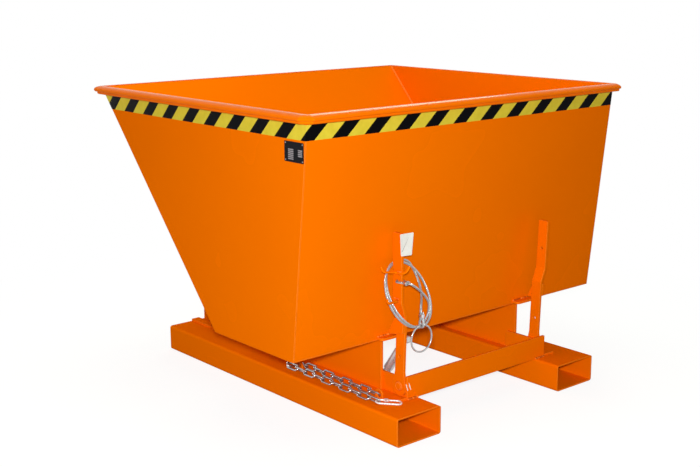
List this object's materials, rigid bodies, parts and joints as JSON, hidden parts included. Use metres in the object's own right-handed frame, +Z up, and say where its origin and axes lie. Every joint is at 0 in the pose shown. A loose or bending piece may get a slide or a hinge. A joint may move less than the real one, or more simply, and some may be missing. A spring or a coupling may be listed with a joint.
{
  "type": "tipping hopper",
  "caption": "Self-tipping steel hopper on fork pockets: a sloping bin on rolling rockers, held by a rear latch with a pull rope and ring, with a safety chain and snap hook.",
  "frame": {"origin": "bottom centre of the whole: middle of the overall width and length, on the floor plane under the fork pockets", "axes": "+Y towards the sloping pouring wall, +Z up, +X to the right seen from the fork truck behind the latch"},
  "size_m": [1.572, 1.4412, 1.1006],
  "materials": {
    "orange_paint": "gloss",
    "bright_steel": "satin",
    "bearing_bronze": "satin",
    "zinc_plate": "bright",
    "clear_covered_cable": "gloss",
    "crimp_aluminium": "satin"
  },
  "bodies": {
    "frame": {"fork_pocket_left": "orange_paint", "fork_pocket_right": "orange_paint", "cross_bar_rear": "orange_paint", "cross_tube_front": "orange_paint", "end_strip_left": "orange_paint", "end_strip_right": "orange_paint", "guide_strip_left": "orange_paint", "guide_strip_right": "orange_paint", "shaft_plate_left": "orange_paint", "shaft_plate_right": "orange_paint", "shaft_bush_left": "bearing_bronze", "shaft_bush_right": "bearing_bronze", "guide_rail_left": "orange_paint", "guide_rail_right": "orange_paint", "chain_lug_rear": "orange_paint", "chain_lug_front": "orange_paint", "safety_chain": "zinc_plate", "snap_hook": "zinc_plate", "snap_gate_pin": "zinc_plate", "strut_pin_low": "bright_steel"},
    "roll_guide": {"roll_guide_rod": "bright_steel", "rod_collar_left": "bright_steel", "rod_collar_right": "bright_steel", "rod_nut_left": "bright_steel", "rod_nut_right": "bright_steel"},
    "hopper": {"hopper_floor": "orange_paint", "hopper_rear_wall": "orange_paint", "hopper_front_wall": "orange_paint", "hopper_side_left": "orange_paint", "hopper_side_right": "orange_paint", "rim_rear": "orange_paint", "rim_front": "orange_paint", "rim_side_left": "orange_paint", "rim_side_right": "orange_paint", "rim_corner_rear_left": "orange_paint", "rim_corner_rear_right": "orange_paint", "rim_corner_front_left": "orange_paint", "rim_corner_front_right": "orange_paint", "rocker_left": "orange_paint", "rocker_right": "orange_paint", "catch_tab_left": "orange_paint", "catch_tab_right": "orange_paint"},
    "latch": {"latch_lever_left": "orange_paint", "latch_lever_right": "orange_paint", "latch_shaft": "orange_paint", "latch_nose_left": "orange_paint", "latch_nose_right": "orange_paint", "rope_hook_upper": "orange_paint", "rope_hook_lower": "orange_paint", "pull_rope": "clear_covered_cable", "ferrule_lever": "crimp_aluminium", "ferrule_ring": "crimp_aluminium", "strut_pin_high": "bright_steel"},
    "ring": {"pull_ring": "zinc_plate"},
    "strut_outer": {"strut_tube": "bright_steel"},
    "strut_inner": {"strut_rod": "bright_steel"},
    "gate": {"snap_gate": "zinc_plate"}
  },
  "joints": [
    {"name": "roll_travel", "type": "slide", "parent": "frame", "child": "roll_guide", "axis": [0, 1, 0], "range_m": [0, 0.51]},
    {"name": "hopper_tilt", "type": "hinge", "parent": "roll_guide", "child": "hopper", "pos_m": [0, -0.03658, 0.5403], "axis": [-1, 0, 0], "range_deg": [0, 66]},
    {"name": "latch_release", "type": "hinge", "parent": "frame", "child": "latch", "pos_m": [0, -0.56459, 0.137], "axis": [1, 0, 0], "range_deg": [0, 14], "stiffness_Nm_per_rad": 30, "springref_deg": -20.05},
    {"name": "strut_swing", "type": "hinge", "parent": "frame", "child": "strut_outer", "pos_m": [-0.312, -0.45559, 0.151], "axis": [1, 0, 0], "range_deg": [0, 11]},
    {"name": "strut_extend", "type": "slide", "parent": "strut_outer", "child": "strut_inner", "axis": [0, -0.5909, 0.8068], "range_m": [0, 0.0235]},
    {"name": "ring_swing", "type": "hinge", "parent": "latch", "child": "ring", "pos_m": [-0.316, -0.63809, 0.365], "axis": [1, 0, 0], "range_deg": [-20, 20]},
    {"name": "snap_gate_open", "type": "hinge", "parent": "frame", "child": "gate", "pos_m": [-0.42425, -0.58599, 0.10965], "axis": [-0.0148, 0.1221, -0.9924], "range_deg": [0, 25], "stiffness_Nm_per_rad": 0.05, "springref_deg": -17.19}
  ],
  "couplings": [
    {"joint": "roll_travel", "follows": "hopper_tilt", "m_per_rad": 0.44},
    {"joint": "strut_swing", "follows": "latch_release", "ratio": 0.6756},
    {"joint": "strut_extend", "follows": "latch_release", "m_per_rad": 0.09135}
  ]
}
